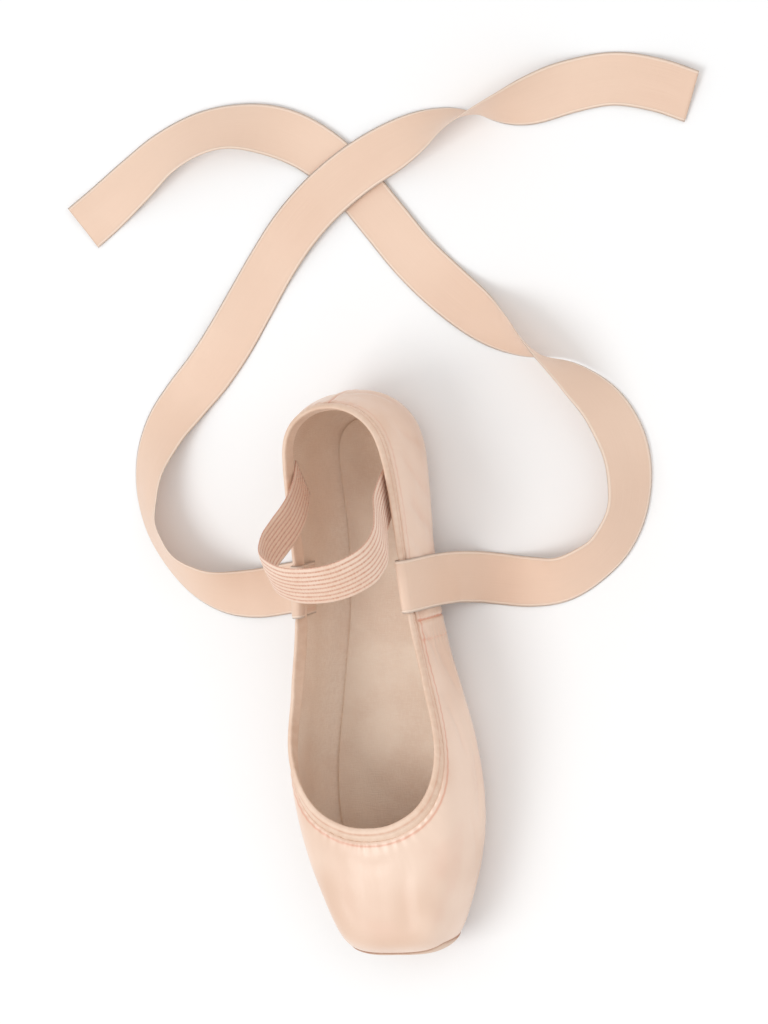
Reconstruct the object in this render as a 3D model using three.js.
// A satin pointe shoe, standing empty on its sole. Millimetres, +Z up.
// The toe points to -Y, X runs across, and the origin is on the floor under the
// middle of the shoe. "Along" is the distance from the back of the heel to the toe.
import * as THREE from "three";

// Driving dimensions.
const SHOE_LENGTH = 240;
const ARCH_RISE = 3.4;
const TOE_SPRING = 6.2;
const SOLE_THICKNESS = 2.6;
const WALL = 2;
const BOX_WALL = 3.2;
const GAP = 0.3;
const SOLE_LAP = 6;
const INSOLE_THICKNESS = 1.8;
const INSOLE_INSET = 1.2;
const CROWN = 3;
const BINDING_HEIGHT = 5;
const BINDING_THICKNESS = 2.8;
const CAP_THICKNESS = 0.7;
const ELASTIC_WIDTH = 20;
const ELASTIC_THICKNESS = 1.2;
const ELASTIC_ALONG = 45;
const ELASTIC_BASE = 46;
const ELASTIC_LEAN = THREE.MathUtils.degToRad(38);
const RIBBON_WIDTH = 22;
const RIBBON_THICKNESS = 0.6;

// Half of the length over all, with the toe cap on.
const MIDDLE = (SHOE_LENGTH + GAP + CAP_THICKNESS) / 2;

// How finely the shapes are cut: ribs around the shoe, steps along each rib, and steps
// between two points of a ribbon or the elastic.
const RIBS = 80;
const LAP_STEPS = 2;
const TURN_STEPS = 3;
const WALL_STEPS = 9;
const BAND_STEPS = 3;

// One row for each control rib, from the middle of the heel to the middle of the toe.
// sole: edge of the outsole. wide: the widest outline. rim: the cut edge under the
// binding. X is across, U along and Z up. corner: height at which wall and vamp would
// meet if nothing were rounded. reach: share of the way to the rim that the rounding
// takes. turn: how far under the shoe the rounded lower edge begins.
const RIB_COLUMNS = [
  "rib", "soleX", "soleU", "wideX", "wideU", "wideZ", "rimX", "rimU", "rimZ", "corner", "reach", "turn",
];
const CONTROL_RIBS = [
  ["heel back", 0, 12, 0, 0, 21, 0, 3.4, 50.5, 40, 1, 11],
  ["heel curve", 9.2, 14.2, 14.6, 3.7, 21, 12.4, 6.6, 50, 40, 1, 11],
  ["heel side", 15.8, 21, 25, 15, 20, 21.4, 16.6, 48.6, 38, 1, 11],
  ["heel seat", 18, 34, 28.2, 33, 19, 24.4, 33, 45.6, 35, 1, 11.5],
  ["quarter", 17, 53, 28, 53, 18, 25, 53, 43, 33, 1, 12],
  ["waist", 14.6, 75, 27.6, 75, 17, 25.4, 75, 41, 32, 1, 12],
  ["side seam", 15.2, 97, 28.8, 97, 17, 27, 97, 40.2, 31, 1, 12],
  ["arch front", 19, 117, 31.9, 117.5, 16, 30, 116.6, 40.6, 31, 1, 11],
  ["instep", 24.5, 136, 35.6, 137, 16, 33.4, 135, 41.8, 31.5, 0.97, 10.5],
  ["joint", 29.2, 155, 38.8, 156.5, 15.5, 35.2, 152.4, 43.6, 32.5, 0.88, 10],
  ["ball", 30.6, 174.5, 40, 176.5, 15.5, 32.4, 167.6, 45.4, 34, 0.72, 9.5],
  ["toes", 28.6, 191.5, 38, 195, 15.5, 25.6, 178, 46.8, 35.2, 0.53, 9],
  ["box side", 24.8, 205, 33.4, 211, 16, 17.8, 183.4, 47.6, 36, 0.36, 8],
  ["box front", 20.5, 214, 28.2, 225, 17, 11.4, 186, 48, 36.8, 0.27, 7],
  ["corner", 14.5, 218.6, 21.6, 236.2, 18, 6.8, 187, 48.2, 37.6, 0.21, 6],
  ["platform", 7, 219.8, 11, 239.7, 19, 3.3, 187.4, 48.3, 38, 0.18, 5.5],
  ["toe centre", 0, 220, 0, 240, 19, 0, 187.5, 48.3, 38, 0.17, 5.5],
].map((row) => Object.fromEntries(RIB_COLUMNS.map((name, place) => [name, row[place]])));
const SPANS = CONTROL_RIBS.length - 1;

// Rise of the outsole's underside off the floor, a row for each place along the shoe.
const SOLE_RISE = [
  { place: "heel end", along: 0, up: 0.3 },
  { place: "heel flat back", along: 16, up: 0 },
  { place: "heel flat front", along: 56, up: 0 },
  { place: "waist", along: 100, up: ARCH_RISE },
  { place: "ball flat back", along: 144, up: 0 },
  { place: "ball flat front", along: 194, up: 0 },
  { place: "toe", along: 240, up: TOE_SPRING },
];

// Height of the outsole's underside at a place along the shoe, eased between rows.
function soleRise(along) {
  const next = SOLE_RISE.findIndex((row) => row.along >= along);
  if (next < 1) {
    return SOLE_RISE[next === 0 ? 0 : SOLE_RISE.length - 1].up;
  }
  const from = SOLE_RISE[next - 1];
  const to = SOLE_RISE[next];
  const share = (along - from.along) / (to.along - from.along);
  const curled = share ** 2 * (1.5 - 0.5 * share);
  const eased = to.place === "toe" ? curled : THREE.MathUtils.smoothstep(share, 0, 1);
  return THREE.MathUtils.lerp(from.up, to.up, eased);
}

const lapHeight = (along) => soleRise(along) + SOLE_THICKNESS + GAP;

// A column of the table as a smooth function of the place round the shoe, from 0 at the
// heel to SPANS at the toe. The column is mirrored past both ends: across changes sign.
function column(name, mirror = 1) {
  const wanted = Array.from({ length: 2 * SPANS }, (_, index) =>
    index <= SPANS ? CONTROL_RIBS[index][name] : mirror * CONTROL_RIBS[2 * SPANS - index][name],
  );
  const knots = wanted.slice();
  const at = (index) => knots[((index % knots.length) + knots.length) % knots.length];
  for (let pass = 0; pass < 40; pass++) {
    for (let index = 0; index < knots.length; index++) {
      knots[index] += wanted[index] - (at(index - 1) + 4 * at(index) + at(index + 1)) / 6;
    }
  }
  return (place) => {
    const start = Math.floor(place);
    const f = place - start;
    const weights = [
      (1 - f) ** 3,
      3 * f ** 3 - 6 * f ** 2 + 4,
      -3 * f ** 3 + 3 * f ** 2 + 3 * f + 1,
      f ** 3,
    ];
    return weights.reduce((sum, weight, step) => sum + (weight * at(start - 1 + step)) / 6, 0);
  };
}

const soleX = column("soleX", -1);
const soleU = column("soleU");
const wideX = column("wideX", -1);
const wideU = column("wideU");
const wideZ = column("wideZ");
const rimX = column("rimX", -1);
const rimU = column("rimU");
const rimZ = column("rimZ");
const cornerZ = column("corner");
const reachOf = column("reach");
const turnOf = column("turn");

// A point of the shoe from across, along and up.
const spot = (x, along, z) => new THREE.Vector3(x, MIDDLE - along, z);

// The outsole's edge and the plan direction that points into the sole there.
function soleEdge(place, inset) {
  const edge = new THREE.Vector2(soleX(place), soleU(place));
  const ahead = new THREE.Vector2(soleX(place + 0.01), soleU(place + 0.01));
  const behind = new THREE.Vector2(soleX(place - 0.01), soleU(place - 0.01));
  const run = ahead.sub(behind).normalize();
  return edge.add(new THREE.Vector2(-run.y, run.x).multiplyScalar(inset));
}

const LEVELS = LAP_STEPS + TURN_STEPS + WALL_STEPS;

// A point of the upper's outer surface. place runs round the shoe from the heel, and
// level from the inner edge of the lap under the foot, over the turn, up to the rim.
function outerPoint(place, level) {
  const lap = soleEdge(place, SOLE_LAP);
  const sole = soleEdge(place, 0);
  const wide = new THREE.Vector2(wideX(place), wideU(place));
  const turn = wide.clone().add(sole.sub(wide).setLength(turnOf(place)));
  if (level <= LAP_STEPS) {
    const flat = lap.lerp(turn, level / LAP_STEPS);
    return spot(flat.x, flat.y, lapHeight(flat.y));
  }
  const middle = spot(wide.x, wide.y, wideZ(place));
  if (level <= LAP_STEPS + TURN_STEPS) {
    const angle = (((level - LAP_STEPS) / TURN_STEPS) * Math.PI) / 2;
    const flat = wide.lerp(turn, 1 - Math.sin(angle));
    const low = lapHeight(turn.y);
    return spot(flat.x, flat.y, THREE.MathUtils.lerp(middle.z, low, Math.cos(angle)));
  }
  const reach = Math.min(reachOf(place), 1);
  const corner = spot(wide.x, wide.y, cornerZ(place));
  const rim = spot(rimX(place), rimU(place), rimZ(place));
  const aim = rim.clone().setZ(rim.z + CROWN * (1 - reach));
  const end = corner.clone().lerp(aim, reach);
  const up = (level - LAP_STEPS - TURN_STEPS) / WALL_STEPS;
  const rounded = reach ** 0.45;
  if (up <= rounded) {
    const angle = ((up / rounded) * Math.PI) / 2;
    const down = middle.sub(corner).multiplyScalar(1 - Math.sin(angle));
    return end.sub(corner).multiplyScalar(1 - Math.cos(angle)).add(down).add(corner);
  }
  const share = (up - rounded) / (1 - rounded);
  const bow = end.clone().lerp(aim, 0.5);
  return end.lerp(bow, share).lerp(bow.clone().lerp(rim, share), share);
}

// The directions round the shoe and up the wall, and the outward normal between them.
function outerFrame(place, level) {
  const small = 0.02;
  const round = outerPoint(place + small, level).sub(outerPoint(place - small, level)).normalize();
  const above = outerPoint(place, Math.min(level + small, LEVELS));
  const below = outerPoint(place, Math.max(level - small, 0));
  const up = above.sub(below).normalize();
  const normal = new THREE.Vector3().crossVectors(up, round).normalize();
  return { up, normal };
}

const offsetPoint = (place, level, out) =>
  outerPoint(place, level).addScaledVector(outerFrame(place, level).normal, out);

// The pasted box is thicker than the quarters, and thins again towards the throat.
function wallAt(place, level) {
  const front = SPANS - Math.abs(place - SPANS);
  const ease = THREE.MathUtils.smoothstep;
  const low = ease(level, LAP_STEPS, LAP_STEPS + 2);
  const high = 1 - ease(level, LEVELS - 4, LEVELS);
  return THREE.MathUtils.lerp(WALL, BOX_WALL, ease(front, 9, 12.5) * low * high);
}

// A closed body from two grids of points, rows by steps: its two faces, the strips that
// join them along the edges, and either ends or a join from the last row to the first.
function shell(front, back, joined) {
  const rows = front.length;
  const steps = front[0].length;
  const index = [];
  const at = (side, row, step) => (side * rows + (row % rows)) * steps + step;
  const quad = (a, b, c, d) => index.push(a, b, c, a, c, d);
  for (let row = 0; row < (joined ? rows : rows - 1); row++) {
    for (let step = 0; step < steps - 1; step++) {
      quad(at(0, row, step), at(0, row, step + 1), at(0, row + 1, step + 1), at(0, row + 1, step));
      quad(at(1, row, step), at(1, row + 1, step), at(1, row + 1, step + 1), at(1, row, step + 1));
    }
    quad(at(0, row, 0), at(0, row + 1, 0), at(1, row + 1, 0), at(1, row, 0));
    quad(at(0, row, steps - 1), at(1, row, steps - 1), at(1, row + 1, steps - 1), at(0, row + 1, steps - 1));
  }
  for (let step = 0; step < (joined ? 0 : steps - 1); step++) {
    quad(at(0, 0, step), at(1, 0, step), at(1, 0, step + 1), at(0, 0, step + 1));
    quad(at(0, rows - 1, step), at(0, rows - 1, step + 1), at(1, rows - 1, step + 1), at(1, rows - 1, step));
  }
  const geometry = new THREE.BufferGeometry();
  const points = [...front.flat(), ...back.flat()].flatMap((point) => point.toArray());
  geometry.setAttribute("position", new THREE.Float32BufferAttribute(points, 3));
  geometry.setIndex(index);
  geometry.computeVertexNormals();
  return geometry;
}

const shoe = new THREE.Group();

function addPiece(name, geometry, color, roughness) {
  const material = new THREE.MeshStandardMaterial({ color, roughness, metalness: 0 });
  const mesh = new THREE.Mesh(geometry, material);
  mesh.name = name;
  shoe.add(mesh);
}

// A grid of points: one row for each value in rows, one point for each value in steps.
const grid = (rows, steps, point) => rows.map((row) => steps.map((step) => point(row, step)));
const count = (size) => Array.from({ length: size }, (_, index) => index);

// Upper: satin over the box, vamp and quarters, turned under and lasted onto the sole.
const ribPlaces = count(RIBS).map((rib) => (rib * 2 * SPANS) / RIBS);
const wallLevels = count(LEVELS + 1);
addPiece(
  "upper",
  shell(
    grid(ribPlaces, wallLevels, outerPoint),
    grid(ribPlaces, wallLevels, (place, level) => offsetPoint(place, level, -wallAt(place, level))),
    true,
  ),
  0xeed4c0,
  0.45,
);

// Plates under the foot: rows across the shoe, from edge to edge, that follow the sole.
const PLATE_ROWS = 45;
const PLATE_END = 0.22;
const ACROSS = [-1, -0.66, -0.33, 0, 0.33, 0.66, 1];

function plate(edge, underside, thickness) {
  const places = count(PLATE_ROWS).map((row) =>
    THREE.MathUtils.lerp(PLATE_END, SPANS - PLATE_END, row / (PLATE_ROWS - 1)),
  );
  const face = (up) => (place, across) => {
    const side = edge(place);
    return spot(side.x * across, side.y, underside(side.y) + up);
  };
  return shell(grid(places, ACROSS, face(0)), grid(places, ACROSS, face(thickness)), false);
}

// Outsole: one piece of suede leather, flat under the seat and the ball of the foot.
addPiece("outsole", plate((place) => soleEdge(place, 0), soleRise, SOLE_THICKNESS), 0xc4a07c, 0.9);

// Insole: a board that lies inside on the lap of the upper.
function insoleEdge(place) {
  const wide = new THREE.Vector2(wideX(place), wideU(place));
  return wide.add(soleEdge(place, 0).sub(wide).setLength(turnOf(place) + INSOLE_INSET));
}
addPiece(
  "insole",
  plate(insoleEdge, (along) => lapHeight(along) + WALL + GAP, INSOLE_THICKNESS),
  0xe9dfce,
  0.85,
);

// Binding: the drawstring casing, a folded tape that stands on the upper's cut edge.
// up: share of its height. half: share of its half thickness.
const BINDING_SECTION = [
  { up: 0, half: 0.75 },
  { up: 0.12, half: 1 },
  { up: 0.5, half: 1 },
  { up: 0.88, half: 0.9 },
  { up: 1, half: 0.45 },
];
const bindingFace = (side) => (place, row) => {
  const { up, normal } = outerFrame(place, LEVELS);
  return outerPoint(place, LEVELS)
    .addScaledVector(normal, (side * row.half * BINDING_THICKNESS - WALL) / 2)
    .addScaledVector(up, GAP + row.up * BINDING_HEIGHT);
};
const bindingGrid = (side) => grid(ribPlaces, BINDING_SECTION, bindingFace(side));
addPiece("binding", shell(bindingGrid(1), bindingGrid(-1), true), 0xecc9b2, 0.6);

// Toe cap: suede over the pleats in front of the outsole and up over the platform. It is
// the stretch of the upper's own surface between two offsets, from rib to rib.
const CAP_FIRST_RIB = 34;
const CAP_TOP_LEVEL = LAP_STEPS + TURN_STEPS + 1.7;
const capPlaces = ribPlaces.slice(CAP_FIRST_RIB, RIBS - CAP_FIRST_RIB + 1);
const capLevels = [null, ...wallLevels.slice(LAP_STEPS, Math.ceil(CAP_TOP_LEVEL)), CAP_TOP_LEVEL];

// Level at which a rib has just passed the outsole's edge.
function levelPastSole(place) {
  const lap = outerPoint(place, 0).distanceTo(outerPoint(place, LAP_STEPS));
  return (LAP_STEPS * (SOLE_LAP + 2 * GAP)) / lap;
}
const capGrid = (out) =>
  grid(capPlaces, capLevels, (place, level) => offsetPoint(place, level ?? levelPastSole(place), out));
addPiece("toe_cap", shell(capGrid(GAP + CAP_THICKNESS), capGrid(GAP), false), 0xc9a188, 0.9);

// A band along a curve: a row for each station, two points across its width, two faces.
// widthAt gives the direction of the width from the tangent and the place on the curve.
function band(curve, width, thickness, widthAt) {
  const line = new THREE.CatmullRomCurve3(curve, false, "centripetal");
  const spans = curve.length - 1;
  const rows = count(spans * BAND_STEPS + 1).map((station) => {
    const place = station / BAND_STEPS;
    const tangent = line.getTangent(place / spans);
    const side = widthAt(tangent, place).normalize();
    return { centre: line.getPoint(place / spans), side, out: side.clone().cross(tangent).normalize() };
  });
  const face = (out) => (row, across) =>
    row.centre
      .clone()
      .addScaledVector(row.side, (across * width) / 2)
      .addScaledVector(row.out, (out * thickness) / 2);
  return shell(grid(rows, [-1, 1], face(1)), grid(rows, [-1, 1], face(-1)), false);
}

// Elastic: sewn inside both quarters, it arches forward over the instep as it is worn.
// Its line lies in a plane that leans towards the toe: across, and up the lean.
const ELASTIC_LINE = [
  { across: 21.8, up: -16 },
  { across: 20.2, up: -7.5 },
  { across: 19.6, up: 1.5 },
  { across: 20.4, up: 10.5 },
  { across: 23, up: 19.5 },
  { across: 25.2, up: 29.5 },
  { across: 22.6, up: 40.5 },
  { across: 12.6, up: 48.6 },
];
const elasticSpot = (across, up) =>
  spot(across, ELASTIC_ALONG + up * Math.sin(ELASTIC_LEAN), ELASTIC_BASE + up * Math.cos(ELASTIC_LEAN));
const elasticCurve = [
  ...ELASTIC_LINE.map((row) => elasticSpot(row.across, row.up)),
  elasticSpot(0, 51),
  ...ELASTIC_LINE.map((row) => elasticSpot(-row.across, row.up)).reverse(),
];
const elasticSide = () => new THREE.Vector3(0, Math.cos(ELASTIC_LEAN), Math.sin(ELASTIC_LEAN));
addPiece("elastic", band(elasticCurve, ELASTIC_WIDTH, ELASTIC_THICKNESS, elasticSide), 0xe9c3ab, 0.8);

// Ribbons: sewn inside the quarters behind the side seam, they fall over the binding,
// lie on the floor and cross behind the heel. Each row of a route is across, along, the
// height of the lower edge, and the roll in degrees that lifts the edge on the left. For
// the first few rows the ribbon hangs on the quarter, with its width along the wall.
const RIBBON_HANGS = 13;
const RIBBON_TURN = 0.062;
const RIBBON_ROUTES = {
  ribbon_left: [
    [24.4, 82, 24.2, 0],
    [24, 82, 31.2, 0],
    [23.3, 82, 37.8, 0],
    [22.12, 82, 42.8, 0],
    [21.77, 82, 45.3, 0],
    [22.77, 82, 47, 0],
    [24.4, 82, 47.3, 0],
    [26, 82, 46.2, 0],
    [26.72, 82, 43.3, 0],
    [27.5, 82, 37.2, 0],
    [28.35, 82, 29.6, 0],
    [29.4, 82.1, 21.6, 0],
    [31.5, 82.3, 13, 0],
    [35.6, 82.8, 6, 0],
    [41.5, 83.6, 2.1, 0],
    [49, 84.8, 0.8, 0],
    [63, 86.6, 0.9, 8],
    [78, 86.2, 0.9, 26],
    [92, 81, 0.9, 44],
    [103.5, 72.5, 0.9, 54],
    [111, 60.5, 0.9, 56],
    [114, 45.5, 0.9, 52],
    [112, 30, 0.9, 46],
    [105.5, 16, 0.9, 48],
    [95.5, 4.5, 0.9, 62],
    [82, -6.5, 0.9, 92],
    [66.5, -16.5, 0.9, 136],
    [51, -27, 0.9, 168],
    [36.5, -39.5, 0.9, 180],
    [23.5, -53.5, 0.9, 180],
    [12, -69, 0.9, 180],
    [0.5, -84.5, 0.9, 180],
    [-12.5, -98.5, 0.9, 180],
    [-28.5, -109, 0.9, 190],
    [-47, -114.5, 0.9, 210],
    [-66.5, -113.5, 0.9, 212],
    [-85, -106.5, 0.9, 204],
    [-101.5, -96, 0.9, 190],
    [-118, -85, 0.9, 180],
    [-128.5, -77.9, 0.9, 176],
  ],
  ribbon_right: [
    [-24.4, 82, 24.2, 0],
    [-24, 82, 31.2, 0],
    [-23.3, 82, 37.8, 0],
    [-22.12, 82, 42.8, 0],
    [-21.77, 82, 45.3, 0],
    [-22.77, 82, 47, 0],
    [-24.4, 82, 47.3, 0],
    [-26, 82, 46.2, 0],
    [-26.72, 82, 43.3, 0],
    [-27.5, 82, 37.2, 0],
    [-28.35, 82, 29.6, 0],
    [-29.4, 82.1, 21.6, 0],
    [-31.5, 82.3, 13, 0],
    [-35.6, 82.8, 6, 0],
    [-41.5, 83.5, 2.1, 0],
    [-48.5, 84.3, 0.8, 0],
    [-62, 85.4, 0.9, -10],
    [-76.5, 83.6, 0.9, -30],
    [-89.5, 77.4, 0.9, -46],
    [-99.5, 67, 0.9, -54],
    [-105.5, 55, 0.9, -52],
    [-107, 40, 0.9, -42],
    [-104, 25, 0.9, -28],
    [-97, 11.5, 0.9, -14],
    [-87, 0, 0.9, -4],
    [-75, -11.5, 0.9, 4],
    [-63.5, -24.5, 0.9, 8],
    [-53, -39, 0.9, 4],
    [-42, -54, 1.2, 0],
    [-29, -68.5, 2.4, 0],
    [-14, -81.5, 3, 0],
    [2.5, -92, 3, -2],
    [20.5, -100, 2.2, -12],
    [39.5, -106, 0.8, -44],
    [59.5, -109.5, 0.9, -92],
    [79.5, -112, 0.9, -142],
    [99, -117, 0.9, -172],
    [118.5, -118.5, 0.9, -180],
    [137.5, -114, 0.9, -176],
    [151.5, -108, 0.9, -174],
  ],
};
for (const [name, route] of Object.entries(RIBBON_ROUTES)) {
  const rolls = route.map((row) => THREE.MathUtils.degToRad(row[3]));
  const curve = route.map(([across, along, up], row) =>
    spot(across, along, up + (RIBBON_WIDTH / 2) * Math.abs(Math.sin(rolls[row]))),
  );
  const side = (tangent, place) => {
    if (place < RIBBON_HANGS) {
      return new THREE.Vector3(-RIBBON_TURN, Math.sign(route[0][0]), 0);
    }
    const row = Math.min(Math.floor(place), rolls.length - 2);
    const roll = THREE.MathUtils.lerp(rolls[row], rolls[row + 1], place - row);
    return new THREE.Vector3(-tangent.y, tangent.x, 0).applyAxisAngle(tangent, roll);
  };
  addPiece(name, band(curve, RIBBON_WIDTH, RIBBON_THICKNESS, side), 0xebd0b9, 0.6);
}

export default shoe;
